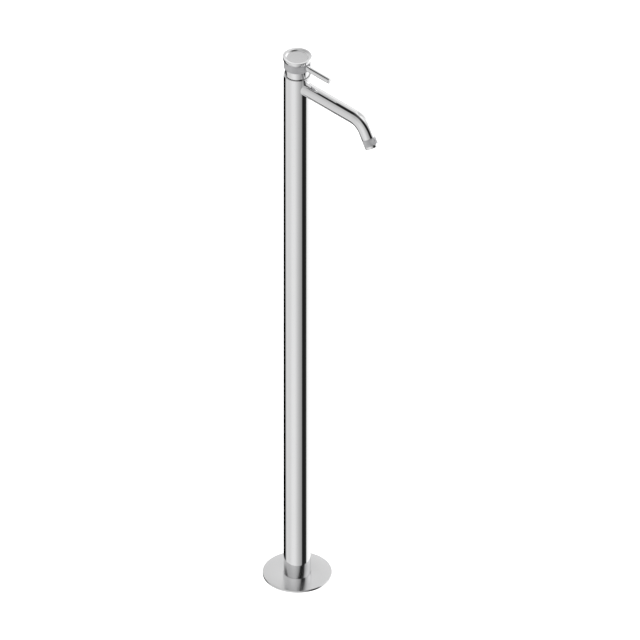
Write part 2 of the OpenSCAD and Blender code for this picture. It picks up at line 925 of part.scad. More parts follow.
module hose_ferrules() {
    ferrule_in = hose_r + push_gap;
    feet = [hose_foot + ferrule_gap, hose_top - ferrule_gap - ferrule_h];
    color("lightgray") at_each_supply() for (z = feet) {
        sleeve_z(ferrule_in + ferrule_t, ferrule_in, z, z + ferrule_h);
    }
}

module union_tails() {
    collar_top_z = web_z - seat_gap;
    color("goldenrod") at_each_supply() difference() {
        union() {
            cylinder_z(union_bore_r - collar_play, collar_top_z - collar_t, collar_top_z);
            cylinder_z(tail_neck_r, collar_top_z - cut, tail_neck_top);
            cylinder_z(barb_r, tail_neck_top - cut, hose_foot + ferrule_h);
        }
        cylinder_z(barb_r - barb_wall, relief_z, hose_foot + ferrule_h + cut);
    }
}

module union_washers() {
    washer_z = web_z - 2 * seat_gap - collar_t - washer_t;
    color("black") at_each_supply() {
        sleeve_z(union_bore_r - collar_play, barb_r, washer_z, washer_z + washer_t);
    }
}

module union_nut() {
    difference() {
        translate([0, 0, union_z]) hexagon(union_hex, web_z + web_h - union_z);
        cylinder_z(union_bore_r, union_z - cut, relief_z + push_gap);
        cylinder_z(union_bore_r + relief_play, relief_z, web_z);
        cylinder_z(tail_neck_r + seat_gap, web_z - cut, web_z + web_h + cut);
    }
}

module cold_union_nut() {
    color("lightgray") translate([0, supply_y, 0]) union_nut();
}

module hot_union_nut() {
    color("lightgray") translate([0, -supply_y, 0]) union_nut();
}

base_cover_plate();
mounting_flange();
flange_tube();
foot_grub_screws();
column_tube();
neck_sleeve();
spout_tube();
spout_end_sleeve();
aerator_ring();
aerator_lip();
aerator_insert();
aerator_seal();
valve_body();
spout_nipple();
spout_o_rings();
cartridge_body();
cartridge_base();
cartridge_seals();
cartridge_nut();
fixed_disc();
turret();
pivot_pin();
disc_carrier();
moving_disc();
stem();
handle_cap();
handle_ring();
lever_pin();
handle_grub_screw();
hose_nipples();
cold_hose();
hot_hose();
hose_ferrules();
union_tails();
union_washers();
cold_union_nut();
hot_union_nut();
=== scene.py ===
"""Dresses the floor-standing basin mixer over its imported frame: forms, finishes and a plain studio."""
import json
import math

import bmesh
import bpy
from bpy.props import FloatProperty, FloatVectorProperty, IntProperty, PointerProperty
from mathutils import Matrix, Vector


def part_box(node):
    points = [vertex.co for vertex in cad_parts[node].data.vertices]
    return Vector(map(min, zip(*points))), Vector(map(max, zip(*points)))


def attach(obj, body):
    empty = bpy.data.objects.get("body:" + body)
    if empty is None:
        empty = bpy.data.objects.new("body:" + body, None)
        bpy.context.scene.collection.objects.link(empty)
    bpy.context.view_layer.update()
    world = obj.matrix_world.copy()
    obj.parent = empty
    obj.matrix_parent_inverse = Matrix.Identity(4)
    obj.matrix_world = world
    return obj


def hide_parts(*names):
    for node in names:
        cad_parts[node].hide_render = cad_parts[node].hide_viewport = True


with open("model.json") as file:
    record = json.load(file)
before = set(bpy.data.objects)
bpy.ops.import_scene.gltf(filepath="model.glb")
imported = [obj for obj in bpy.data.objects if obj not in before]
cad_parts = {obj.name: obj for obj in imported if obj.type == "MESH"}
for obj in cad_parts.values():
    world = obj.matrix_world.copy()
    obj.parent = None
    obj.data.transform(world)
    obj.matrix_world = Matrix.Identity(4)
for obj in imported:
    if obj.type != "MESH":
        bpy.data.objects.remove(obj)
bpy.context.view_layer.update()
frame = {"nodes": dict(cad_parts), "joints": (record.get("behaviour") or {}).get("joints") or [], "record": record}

bl_info = {
    "name": "Basin mixer dressing",
    "version": (1, 0, 0),
    "blender": (4, 5, 0),
    "location": "View3D > Sidebar > Mixer",
    "description": "Builds the visible pieces and finishes of a floor-standing basin mixer",
    "category": "Object",
}

# One millimetre, in the frame's metres
MM = 0.001
# Sides of a large turned piece
SIDES = 192
# Sides of a small turned piece
SMALL_SIDES = 96
# Sides of a round cutter
CUTTER_SIDES = 48
# Steps of an eased corner
EASE_STEPS = 5
# Points of one ridge, round its ring
RIDGE_STEPS = 8
# Faces that meet at more than this angle keep a sharp edge between them
SHARP = math.radians(32)
# A point nearer to the axis than this closes a pole
POLE = 1e-7
# A cutter reaches this far past the face that it opens
CUT = 1 * MM
# Gap between the neck and the ring that tilts over it
SKIRT_GAP = 0.4 * MM
# Gap between the lever and each hole that it passes
LEVER_GAP = 0.15 * MM
# Gap between pieces that are pushed together
PUSH_GAP = 0.05 * MM
# Radius of the hole at the back of the handle, which leads to its grub screw
KEY_R = 2.2 * MM
# Easing of an edge that is left nearly sharp
FINE_EDGE = 0.1 * MM
# A point nearer than this to a height or a radius belongs to the surface there
NEAR = 0.1 * MM


def low(node):
    """The lowest corner of one of the frame's solids."""
    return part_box(node)[0]


def high(node):
    """The highest corner of one of the frame's solids."""
    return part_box(node)[1]


def half_width(node):
    """The radius of a solid that is round about an axis in the column's middle plane."""
    return (high(node).y - low(node).y) / 2


# Sizes and places that the frame gives
PLATE_R = half_width("base_cover_plate")
PLATE_TOP = high("base_cover_plate").z
COLUMN_R = half_width("column_tube")
COLUMN_FOOT = low("column_tube").z
COLUMN_TOP = high("column_tube").z
SCREW_Z = (low("foot_grub_screws").z + high("foot_grub_screws").z) / 2
SPOUT_R = half_width("spout_tube")
SPOUT_Z = high("spout_tube").z - SPOUT_R
LIP_R = half_width("aerator_lip")
NECK_R = half_width("neck_sleeve")
NECK_FOOT = low("neck_sleeve").z
NECK_TOP = high("neck_sleeve").z
RING_R = half_width("handle_ring")
RING_Z = low("handle_ring").z
CAP_Z = high("handle_ring").z
CAP_R = half_width("handle_cap")
CAP_TOP = high("handle_cap").z
LEVER_R = half_width("lever_pin")
LEVER_Z = (low("lever_pin").z + high("lever_pin").z) / 2
LEVER_START = low("lever_pin").x
LEVER_TIP = high("lever_pin").x
SKIRT_R = NECK_R + SKIRT_GAP
PIVOT_Z = next(joint["pos_m"][2] for joint in frame["joints"] if joint["name"] == "flow")
SLOTS = {row["node"]: row["material_slot"] for row in frame["record"]["subparts"]}


def length(label, note, millimetres):
    """A length that a user can change."""
    return FloatProperty(name=label, description=note, default=millimetres * MM, min=0, precision=5,
                         unit="LENGTH", subtype="DISTANCE")


def slant(label, note, degrees, least):
    """An angle that a user can change."""
    return FloatProperty(name=label, description=note, default=math.radians(degrees), min=least, max=1.5,
                         unit="ROTATION", subtype="ANGLE")


def shade(label, note, default):
    """A colour that a user can change."""
    return FloatVectorProperty(name=label, description=note, default=default, min=0, max=1, size=3,
                               subtype="COLOR")


class MixerSizes(bpy.types.PropertyGroup):
    """Sizes of the mixer's visible pieces."""

    plate_edge: length("Plate edge", "Easing of the cover plate's upper edge", 0.5)
    plate_skin: length("Plate skin", "Thickness of the cover plate's top", 0.9)
    plate_rim: length("Plate rim", "Width of the rim that the cover plate stands on", 1.2)
    plate_gap: length("Plate gap", "Gap between the cover plate and the column", 0.15)
    column_wall: length("Column wall", "Wall of the column tube", 1.5)
    column_edge: length("Column edge", "Easing of the column's upper edge", 0.45)
    screw_hole: length("Screw hole", "Radius of the holes of the foot's grub screws", 2.6)
    spout_wall: length("Spout wall", "Wall of the spout tube", 1.5)
    straight: length("Straight", "Distance from the column's axis to the start of the bend", 140.8)
    bend_radius: length("Bend radius", "Radius of the spout's bend at the middle of the tube", 33)
    outlet_tube: length("Outlet tube", "Length of the spout tube past the bend", 13.4)
    outlet_ring: length("Outlet ring", "Height of the textured ring at the outlet", 12.75)
    outlet_lip: length("Outlet lip", "Height of the polished lip below it", 4.95)
    outlet_bevel: length("Outlet bevel", "Easing of the lip's outer edge", 1.2)
    joint_line: length("Joint line", "Open joint between pieces that are screwed together", 0.1)
    mouth_radius: length("Mouth radius", "Radius of the outlet's mouth", 8.9)
    screen_depth: length("Screen depth", "Depth of the screen inside the outlet's mouth", 1.2)
    hole_radius: length("Hole radius", "Radius of one hole of the outlet's screen", 0.55)
    hole_pitch: length("Hole pitch", "Distance between neighbouring holes of the screen", 2)
    ridge_depth: length("Ridge depth", "Depth of the ridges on both textured rings", 0.3)
    ridge_land: length("Ridge land", "Height of the plain band at each end of the ridges", 0.6)
    neck_wall: length("Neck wall", "Wall of the neck", 1.4)
    neck_opening: length("Neck opening", "Radius of the opening in the neck's top", 14)
    dish_radius: length("Dish radius", "Radius of the flat floor of the cap's dish", 18.7)
    dish_depth: length("Dish depth", "Depth of the dish in the cap", 3.3)
    step_width: length("Dish step width", "Width of the steep step round the dish's floor", 1.9)
    step_height: length("Dish step height", "Height of the steep step round the dish's floor", 2.2)
    cap_skin: length("Cap skin", "Thickness of the cap's floor", 2.5)
    hub_radius: length("Hub radius", "Radius of the hub under the cap", 8)
    stem_width: length("Stem width", "Width of the square hole in the hub", 7.8)
    lever_edge: length("Lever edge", "Easing of the lever's tip", 0.5)
    screw_angle: slant("Screw angle", "Angle of each grub screw to the straight back", 30, 0)
    bend_angle: slant("Bend angle", "Angle that the spout bends down by", 60, 0.2)
    ridge_count: IntProperty(name="Ridges", description="Ridges round the handle ring", default=110, min=12)


class MixerColours(bpy.types.PropertyGroup):
    """Colours of the mixer's finishes."""

    steel: shade("Polished steel", "The column, spout, neck, cap and lever", (0.9, 0.9, 0.905))
    flat_steel: shade("Flat steel", "The cover plate", (0.8, 0.8, 0.805))
    ridged_steel: shade("Ridged steel", "The two textured rings", (0.6, 0.6, 0.605))
    plain_steel: shade("Plain steel", "Screws, pins, ferrules and the flange", (0.5, 0.5, 0.52))
    brass: shade("Brass", "Nipples, tails, sleeves and other turned brass", (0.72, 0.52, 0.25))
    nickel: shade("Nickel", "The valve body and the union nuts", (0.74, 0.72, 0.68))
    white_plastic: shade("White plastic", "The cartridge's body and the outlet's screen", (0.8, 0.8, 0.78))
    blue_plastic: shade("Blue plastic", "The turret", (0.05, 0.14, 0.36))
    orange_plastic: shade("Orange plastic", "The disc carrier", (0.75, 0.2, 0.03))
    ceramic: shade("Ceramic", "The two water discs", (0.86, 0.84, 0.78))
    rubber: shade("Rubber", "Seals and washers", (0.02, 0.02, 0.021))
    braid: shade("Braid", "The sleeves of the two hoses", (0.42, 0.43, 0.45))
    floor: shade("Floor", "The studio's floor", (0.93, 0.93, 0.93))


class Flow:
    """An output of a node, which can be used in a sum."""

    def __init__(self, nodes, socket):
        self.nodes = nodes
        self.socket = socket

    def math(self, operation, *others, clamp=False):
        """A Math node whose first value is this output."""
        values = dict(enumerate((self, *others)))
        return self.nodes.add("ShaderNodeMath", values, operation=operation, use_clamp=clamp)

    def __add__(self, other):
        return self.math("ADD", other)

    def __sub__(self, other):
        return self.math("SUBTRACT", other)

    def __rsub__(self, other):
        return self.nodes.add("ShaderNodeMath", {0: other, 1: self}, operation="SUBTRACT")

    def __mul__(self, other):
        return self.math("MULTIPLY", other)

    def __truediv__(self, other):
        return self.math("DIVIDE", other)

    def __pow__(self, other):
        return self.math("POWER", other)

    def __gt__(self, other):
        return self.math("GREATER_THAN", other)

    def __lt__(self, other):
        return self.math("LESS_THAN", other)

    __radd__ = __add__
    __rmul__ = __mul__


class Nodes:
    """Adds nodes to one tree, so that a form or a finish reads as a few sums."""

    def __init__(self, tree):
        self.tree = tree

    def add(self, kind, sockets=None, out=0, stops=(), **settings):
        """Adds one node, makes its settings, fills its sockets by name or number, and gives one output."""
        node = self.tree.nodes.new(kind)
        for name, value in settings.items():
            setattr(node, name, value)
        for number, (place, value) in enumerate(stops):
            if number > 1:
                node.color_ramp.elements.new(place)
            node.color_ramp.elements[number].position = place
            node.color_ramp.elements[number].color = (value, value, value, 1)
        for name, value in (sockets or {}).items():
            if isinstance(value, Flow):
                self.tree.links.new(value.socket, node.inputs[name])
            else:
                node.inputs[name].default_value = value
        return Flow(self, node.outputs[out]) if node.outputs else None

    def parts(self, vector):
        """The three parts of a vector."""
        node = self.add("ShaderNodeSeparateXYZ", {0: vector}).socket.node
        return [Flow(self, output) for output in node.outputs]

    def vector(self, x, y, z):
        """A vector from its three parts."""
        return self.add("ShaderNodeCombineXYZ", {0: x, 1: y, 2: z})

    def blend(self, share, first, second):
        """A colour between two colours."""
        return self.add("ShaderNodeMix", {0: share, 6: first, 7: second}, out=2, data_type="RGBA")

    def noise(self, vector, scale, detail=2.0, roughness=0.5):
        """Smooth noise from 0 to 1."""
        values = {"Vector": vector, "Scale": scale, "Detail": detail, "Roughness": roughness}
        return self.add("ShaderNodeTexNoise", values)

    def ramp(self, value, *stops):
        """A curve through stops, each a place and a value from 0 to 1."""
        return self.add("ShaderNodeValToRGB", {0: value}, stops=stops)

    def place(self):
        """The point's place on its piece, in the frame's metres."""
        return self.add("ShaderNodeTexCoord", out="Object")


# Finishes


# How many times its floor's radius the inside of the cap's dish reaches, and how much rougher it is there
DISH_REACH = 1.3
DISH_SATIN = 0.24
# Tone of the dish's floor, and how much smoother it is than the step round it
DISH_TONE = 0.8
DISH_SHINE = 0.1


def tint(colour, factor=1.0):
    """A colour made lighter or darker, with its alpha."""
    return (*(min(1.0, part * factor) for part in colour), 1.0)


def finish(name, surface):
    """A material with the surface that a function adds to its tree."""
    material = bpy.data.materials.new(name)
    material.use_nodes = True
    material.node_tree.nodes.clear()
    nodes = Nodes(material.node_tree)
    nodes.add("ShaderNodeOutputMaterial", {"Surface": surface(nodes)})
    return material


def bump(nodes, height, strength, depth):
    """A normal that follows a height."""
    return nodes.add("ShaderNodeBump", {"Strength": strength, "Distance": depth, "Height": height})


def shader(nodes, colour, roughness, normal, metallic=0.0, specular=0.5, coat=0.0):
    """The one shader that every finish of the mixer uses."""
    return nodes.add("ShaderNodeBsdfPrincipled", {
        "Base Color": colour, "Roughness": roughness, "Normal": normal, "Metallic": metallic,
        "Specular IOR Level": specular, "Coat Weight": coat})


def grain_along(nodes, place, axis):
    """Coordinates for the fine lines that polishing leaves round a turned piece, whose axis is given."""
    across = 35.0
    fine = 3200.0
    x, y, z = nodes.parts(place)
    if axis == "rings":
        radius = (x * x + y * y) ** 0.5
        return nodes.vector(radius * fine, x * across, y * across)
    if axis == "x":
        return nodes.vector(x * fine, y * across, z * across)
    if axis == "outlet":
        angle = bpy.context.scene.mixer_sizes.bend_angle
        along = x * math.cos(angle) - z * math.sin(angle)
        return nodes.vector(along * fine, y * across, z * across)
    return nodes.vector(x * across, y * across, z * fine)


def polished(colour, axis, base=0.03, brushed=0.5, dish=None):
    """Polished steel: fine turning lines, a faint cloudiness, and the light marks of wiping and handling.

    A dish is given by its floor's height and radius. It is satin inside, and its floor is a little darker.
    """
    def surface(nodes):
        place = nodes.place()
        lines = nodes.noise(grain_along(nodes, place, axis), scale=1.0, detail=3.0, roughness=0.6)
        cloud = nodes.noise(place, scale=11.0, detail=3.0, roughness=0.55)
        smears = nodes.noise(place, scale=85.0, detail=5.0, roughness=0.62)
        wiped = nodes.ramp(smears, (0.56, 0.0), (0.72, 1.0))
        colour_here = nodes.blend(cloud * 0.6 + lines * 0.4, tint(colour, 0.965), tint(colour, 1.03))
        roughness = base + cloud * 0.02 + lines * 0.015 + wiped * 0.02
        if dish:
            floor_z, floor_r = dish
            x, y, z = nodes.parts(place)
            inside = ((x * x + y * y) ** 0.5 < DISH_REACH * floor_r) * (z > floor_z - NEAR)
            floor = inside * (z < floor_z + NEAR)
            colour_here = nodes.blend(floor, colour_here, tint(colour, DISH_TONE))
            roughness = roughness + inside * DISH_SATIN - floor * DISH_SHINE
        normal = bump(nodes, lines, strength=brushed, depth=0.02 * MM)
        return shader(nodes, colour_here, roughness, normal, metallic=1.0)
    return surface


def turned(colour, scale, base, depth=0.03, dull=0.82):
    """Plain turned metal: tool lines up the piece, and patches where it has dulled."""
    def surface(nodes):
        place = nodes.place()
        lines = nodes.noise(grain_along(nodes, place, "z"), scale=scale)
        patches = nodes.noise(place, scale=160.0, detail=4.0, roughness=0.6)
        dulled = nodes.ramp(patches, (0.42, 0.0), (0.66, 1.0))
        colour_here = nodes.blend(dulled, tint(colour, 1.04), tint(colour, dull))
        roughness = base + lines * 0.08 + dulled * 0.1
        normal = bump(nodes, lines, strength=0.25, depth=depth * MM)
        return shader(nodes, colour_here, roughness, normal, metallic=1.0)
    return surface


def ridged(colour):
    """Blasted steel of the textured rings: matte, with a fine tooth, and worn brighter in patches."""
    def surface(nodes):
        place = nodes.place()
        tooth = nodes.noise(place, scale=5200.0, detail=3.0, roughness=0.65)
        cloud = nodes.noise(place, scale=240.0, detail=3.0, roughness=0.5)
        worn = nodes.ramp(tooth * 0.5 + cloud * 0.5, (0.48, 0.0), (0.62, 1.0))
        colour_here = nodes.blend(worn, tint(colour, 0.93), tint(colour, 1.1))
        roughness = 0.4 + tooth * 0.1 - worn * 0.06
        normal = bump(nodes, tooth, strength=0.35, depth=0.05 * MM)
        return shader(nodes, colour_here, roughness, normal, metallic=1.0)
    return surface


def moulded(colour, base=0.38):
    """Moulded plastic: a fine spark-eroded grain, and flow marks that vary its gloss."""
    def surface(nodes):
        place = nodes.place()
        grain = nodes.noise(place, scale=2600.0)
        flow = nodes.noise(place, scale=120.0, detail=3.0, roughness=0.55)
        colour_here = nodes.blend(flow, tint(colour, 0.94), tint(colour, 1.05))
        roughness = base + flow * 0.1 + grain * 0.08
        normal = bump(nodes, grain, strength=0.15, depth=0.03 * MM)
        return shader(nodes, colour_here, roughness, normal, specular=0.45)
    return surface


def lapped(colour):
    """Lapped ceramic: nearly even, with faint specks and a satin shine."""
    def surface(nodes):
        place = nodes.place()
        grit = nodes.noise(place, scale=1900.0, detail=4.0, roughness=0.7)
        specks = nodes.ramp(grit, (0.6, 0.0), (0.74, 1.0))
        cloud = nodes.noise(place, scale=200.0)
        colour_here = nodes.blend(specks * 0.6 + cloud * 0.2, tint(colour, 1.02), tint(colour, 0.86))
        roughness = 0.14 + cloud * 0.08
        normal = bump(nodes, cloud, strength=0.05, depth=0.02 * MM)
        return shader(nodes, colour_here, roughness, normal, coat=0.2)
    return surface


def rubbery(colour):
    """Black rubber: matte, a little dusty, with a fine pebble."""
    def surface(nodes):
        place = nodes.place()
        pebble = nodes.noise(place, scale=1500.0, detail=3.0, roughness=0.6)
        patches = nodes.noise(place, scale=210.0, detail=4.0, roughness=0.6)
        dust = nodes.ramp(patches, (0.45, 0.0), (0.75, 1.0))
        colour_here = nodes.blend(dust * 0.5, tint(colour), tint((0.09, 0.09, 0.088)))
        roughness = 0.62 + pebble * 0.18
        normal = bump(nodes, pebble, strength=0.3, depth=0.06 * MM)
        return shader(nodes, colour_here, roughness, normal)
    return surface


def braided(colour, side):
    """Braided wire sleeve: two sets of strands wound round the hose at one side of the column's middle."""
    strands = 18.0
    turns = 520.0

    def surface(nodes):
        x, y, z = nodes.parts(nodes.place())
        angle = (y - side).math("ARCTAN2", x) * strands
        climb = z * turns
        over = (angle + climb).math("SINE")
        under = (angle - climb).math("SINE")
        weave = (over * under * 0.5 + 0.5).math("POWER", 0.8, clamp=True)
        wire = nodes.noise(nodes.vector(angle * 0.6, climb * 0.6, over), scale=2.0, detail=3.0, roughness=0.6)
        colour_here = nodes.blend(weave * 0.7 + wire * 0.3, tint(colour, 0.45), tint(colour, 1.25))
        roughness = 0.3 + wire * 0.25
        normal = bump(nodes, weave, strength=0.7, depth=0.25 * MM)
        return shader(nodes, colour_here, roughness, normal, metallic=weave * 0.35 + 0.6)
    return surface


def make_finishes():
    """Every finish of the mixer, by the name that its pieces use."""
    colour = bpy.context.scene.mixer_colours
    size = bpy.context.scene.mixer_sizes
    hose = (low("cold_hose").y + high("cold_hose").y) / 2
    surfaces = {
        "column_steel": polished(colour.steel, "z"),
        "spout_steel": polished(colour.steel, "x", brushed=0.25),
        "lever_steel": polished(colour.steel, "x", base=0.01, brushed=0.12),
        "outlet_steel": polished(colour.steel, "outlet"),
        "plate_steel": polished(colour.flat_steel, "rings", base=0.2),
        "cap_steel": polished(colour.steel, "rings", dish=(CAP_TOP - size.dish_depth, size.dish_radius)),
        "textured_steel": ridged(colour.ridged_steel),
        "plain_steel": turned(colour.plain_steel, scale=0.5, base=0.28),
        "brass": turned(colour.brass, scale=0.35, base=0.2),
        "plated_brass": turned(colour.nickel, scale=0.5, base=0.16, depth=0.015, dull=0.9),
        "white_plastic": moulded(colour.white_plastic),
        "blue_plastic": moulded(colour.blue_plastic, base=0.42),
        "orange_plastic": moulded(colour.orange_plastic, base=0.34),
        "ceramic": lapped(colour.ceramic),
        "rubber": rubbery(colour.rubber),
        "cold_braid": braided(colour.braid, hose),
        "hot_braid": braided(colour.braid, -hose),
    }
    for name, surface in surfaces.items():
        finish(name, surface)


# Forms


def eased(corners, closed=True):
    """The outline through corners, each a radius, a height and an easing. An eased corner becomes an arc."""
    outline = []
    for number, (radius, height, ease) in enumerate(corners):
        here = Vector((radius, height))
        if not ease or (not closed and number in (0, len(corners) - 1)):
            outline.append(here)
            continue
        before = (Vector(corners[number - 1][:2]) - here).normalized()
        after = (Vector(corners[(number + 1) % len(corners)][:2]) - here).normalized()
        half = before.angle(after) / 2
        centre = here + (before + after).normalized() * (ease / math.sin(half))
        first = here + before * (ease / math.tan(half)) - centre
        last = here + after * (ease / math.tan(half)) - centre
        sweep = first.angle(last)
        for step in range(EASE_STEPS + 1):
            share = step / EASE_STEPS
            spoke = first * math.sin((1 - share) * sweep) + last * math.sin(share * sweep)
            outline.append(centre + spoke / math.sin(sweep))
    return outline


def arc(centre_z, radius, start_z, end_z, steps=10):
    """Points of an arc about a centre on the axis, between two heights, as corners with no easing."""
    heights = [start_z + (end_z - start_z) * step / steps for step in range(steps + 1)]
    return [(math.sqrt(radius ** 2 - (height - centre_z) ** 2), height, 0) for height in heights]


def lathe(name, outline, sides=SIDES):
    """A mesh turned about Z from an outline. An outline that starts and ends on the axis gets poles there."""
    form = bmesh.new()
    turn = math.tau / sides
    rings = []
    for radius, height in outline:
        count = 1 if radius < POLE else sides
        rings.append([
            form.verts.new((radius * math.cos(turn * side), radius * math.sin(turn * side), height))
            for side in range(count)
        ])
    following = rings[1:] + rings[:1]
    for lower, upper in zip(rings, following):
        if len(lower) == len(upper) == 1:
            continue
        for side in range(sides):
            ahead = (side + 1) % sides
            corners = [lower[side % len(lower)], lower[ahead % len(lower)], upper[ahead % len(upper)],
                       upper[side % len(upper)]]
            form.faces.new(list(dict.fromkeys(corners)))
    bmesh.ops.recalc_face_normals(form, faces=form.faces)
    mesh = bpy.data.meshes.new(name)
    form.to_mesh(mesh)
    form.free()
    return mesh


def smoothed(mesh):
    """Smooth shading, with sharp edges where faces meet at a clear angle."""
    form = bmesh.new()
    form.from_mesh(mesh)
    for face in form.faces:
        face.smooth = True
    for edge in form.edges:
        edge.smooth = len(edge.link_faces) == 2 and edge.calc_face_angle(0) < SHARP
    form.to_mesh(mesh)
    form.free()
    return mesh


def plain_result(thing):
    """The plain mesh that an object's modifiers give."""
    bpy.context.view_layer.update()
    return bpy.data.meshes.new_from_object(thing.evaluated_get(bpy.context.evaluated_depsgraph_get()))


def placed(name, mesh):
    """A new object in the scene."""
    thing = bpy.data.objects.new(name, mesh)
    bpy.context.scene.collection.objects.link(thing)
    return thing


def dropped(thing):
    """Takes a helper out of the scene."""
    mesh = thing.data
    bpy.data.objects.remove(thing)
    bpy.data.meshes.remove(mesh)


def cut(mesh, cutters):
    """The mesh with the cutters' shapes taken out of it."""
    body = placed("cut_body", mesh)
    tools = [placed("cut_tool", cutter) for cutter in cutters]
    for tool in tools:
        modifier = body.modifiers.new("cut", "BOOLEAN")
        modifier.operation = "DIFFERENCE"
        modifier.solver = "EXACT"
        modifier.object = tool
    result = plain_result(body)
    for thing in (body, *tools):
        dropped(thing)
    return result


def rod(radius, start, end):
    """A plain round cutter along Z."""
    corners = ((0, start), (radius, start), (radius, end), (0, end))
    return lathe("rod", [Vector(corner) for corner in corners], CUTTER_SIDES)


def block(width, start, end):
    """A plain square cutter along Z."""
    form = bmesh.new()
    bmesh.ops.create_cube(form, size=1)
    mesh = bpy.data.meshes.new("block")
    form.to_mesh(mesh)
    form.free()
    size = Matrix.Diagonal((width, width, end - start, 1))
    return moved(mesh, Matrix.Translation((0, 0, (start + end) / 2)) @ size)


def along_x(height, turn=0.0):
    """Lays a piece made about Z along X, at a height, turned about the column."""
    lying = Matrix.Rotation(math.pi / 2, 4, "Y")
    return Matrix.Rotation(turn, 4, "Z") @ Matrix.Translation((0, 0, height)) @ lying


def moved(mesh, matrix):
    """The mesh in its place."""
    mesh.transform(matrix)
    return mesh


def piece(name, mesh, material, body, slot, *nodes):
    """A finished piece: its finish, the body that carries it, and the solids that it stands for."""
    mesh.name = name
    mesh.materials.clear()
    mesh.materials.append(bpy.data.materials[material])
    thing = placed(name, smoothed(mesh))
    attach(thing, body)
    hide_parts(*nodes)


def bend_end():
    """Where the spout's bend ends, on the tube's middle line."""
    size = bpy.context.scene.mixer_sizes
    run = size.straight + size.bend_radius * math.sin(size.bend_angle)
    return Vector((run, 0, SPOUT_Z - size.bend_radius * (1 - math.cos(size.bend_angle))))


def at_outlet(start=0.0):
    """Puts a piece made about Z on the outlet's axis, a distance past the bend."""
    turn = Matrix.Rotation(math.pi / 2 + bpy.context.scene.mixer_sizes.bend_angle, 4, "Y")
    return Matrix.Translation(bend_end()) @ turn @ Matrix.Translation((0, 0, start))


# Forms that Geometry Nodes make


SOCKETS = {float: "NodeSocketFloat", int: "NodeSocketInt"}


def form_tree(name, values, steps):
    """A Geometry Nodes tree with named inputs. A function adds its steps and gives its geometry."""
    tree = bpy.data.node_groups.new(name, "GeometryNodeTree")
    tree.interface.new_socket("Geometry", in_out="OUTPUT", socket_type="NodeSocketGeometry")
    tree.interface.new_socket("Geometry", in_out="INPUT", socket_type="NodeSocketGeometry")
    for label, value in values.items():
        kind = SOCKETS.get(type(value), "NodeSocketMaterial")
        tree.interface.new_socket(label, in_out="INPUT", socket_type=kind)
    nodes = Nodes(tree)
    entry = tree.nodes.new("NodeGroupInput")
    inputs = {socket.name: Flow(nodes, socket) for socket in entry.outputs if socket.name}
    real = nodes.add("GeometryNodeRealizeInstances", {"Geometry": steps(nodes, inputs)})
    painted = nodes.add("GeometryNodeSetMaterial", {"Geometry": real, "Material": inputs["Material"]})
    nodes.add("NodeGroupOutput", {"Geometry": painted})
    return tree


def grown(name, values, steps, base=None):
    """The plain mesh that a Geometry Nodes form makes with these values, from a base mesh if it needs one."""
    tree = form_tree(name, values, steps)
    holder = placed(name, base or bpy.data.meshes.new(name))
    modifier = holder.modifiers.new(name, "NODES")
    modifier.node_group = tree
    for item in tree.interface.items_tree:
        if item.in_out == "INPUT" and item.name in values:
            modifier[item.identifier] = values[item.name]
    mesh = plain_result(holder)
    dropped(holder)
    return mesh


def bent_tube(nodes, inputs):
    """Both walls of a tube that runs straight, bends down in one arc, and runs straight again."""
    bend_steps = 44
    height = inputs["Height"]
    before_corner = inputs["Bend Radius"] * (inputs["Bend Angle"] / 2).math("TANGENT")
    corner = inputs["Straight"] + before_corner
    leg = inputs["Outlet"] + before_corner
    end_x = corner + leg * inputs["Bend Angle"].math("COSINE")
    end_z = height - leg * inputs["Bend Angle"].math("SINE")
    first = nodes.add("GeometryNodeCurvePrimitiveLine", {
        "Start": nodes.vector(inputs["Start"], 0.0, height), "End": nodes.vector(end_x, 0.0, end_z)})
    three = nodes.add("GeometryNodeResampleCurve", {"Curve": first, "Count": 3})
    middle = nodes.add("FunctionNodeCompare", {2: nodes.add("GeometryNodeInputIndex"), 3: 1},
                       data_type="INT", operation="EQUAL")
    path = nodes.add("GeometryNodeSetPosition", {
        "Geometry": three, "Selection": middle, "Position": nodes.vector(corner, 0.0, height)})
    path = nodes.add("GeometryNodeFilletCurve", {
        "Curve": path, "Count": bend_steps, "Radius": inputs["Bend Radius"]}, mode="POLY")
    walls = nodes.add("GeometryNodeJoinGeometry")
    for radius, inside in ((inputs["Radius"], False), (inputs["Radius"] - inputs["Wall"], True)):
        ring = nodes.add("GeometryNodeCurvePrimitiveCircle", {"Resolution": SMALL_SIDES, "Radius": radius})
        wall = nodes.add("GeometryNodeCurveToMesh", {"Curve": path, "Profile Curve": ring})
        if inside:
            wall = nodes.add("GeometryNodeFlipFaces", {"Mesh": wall})
        nodes.tree.links.new(wall.socket, walls.socket.node.inputs[0])
    return walls


def ridge_band(nodes, inputs):
    """Pushes the outer wall of a sleeve out into upright ridges, between two plain lands."""
    fullness = 0.8
    x, y, z = nodes.parts(nodes.add("GeometryNodeInputPosition"))
    radius = (x * x + y * y) ** 0.5
    inside = (radius > inputs["Root"] - NEAR) * (z > inputs["Low"]) * (z < inputs["High"])
    wave = (y.math("ARCTAN2", x) * inputs["Ridges"]).math("COSINE") * 0.5 + 0.5
    push = inside * (wave ** fullness) * inputs["Depth"] / radius
    offset = nodes.vector(x * push, y * push, 0.0)
    return nodes.add("GeometryNodeSetPosition", {"Geometry": inputs["Geometry"], "Offset": offset})


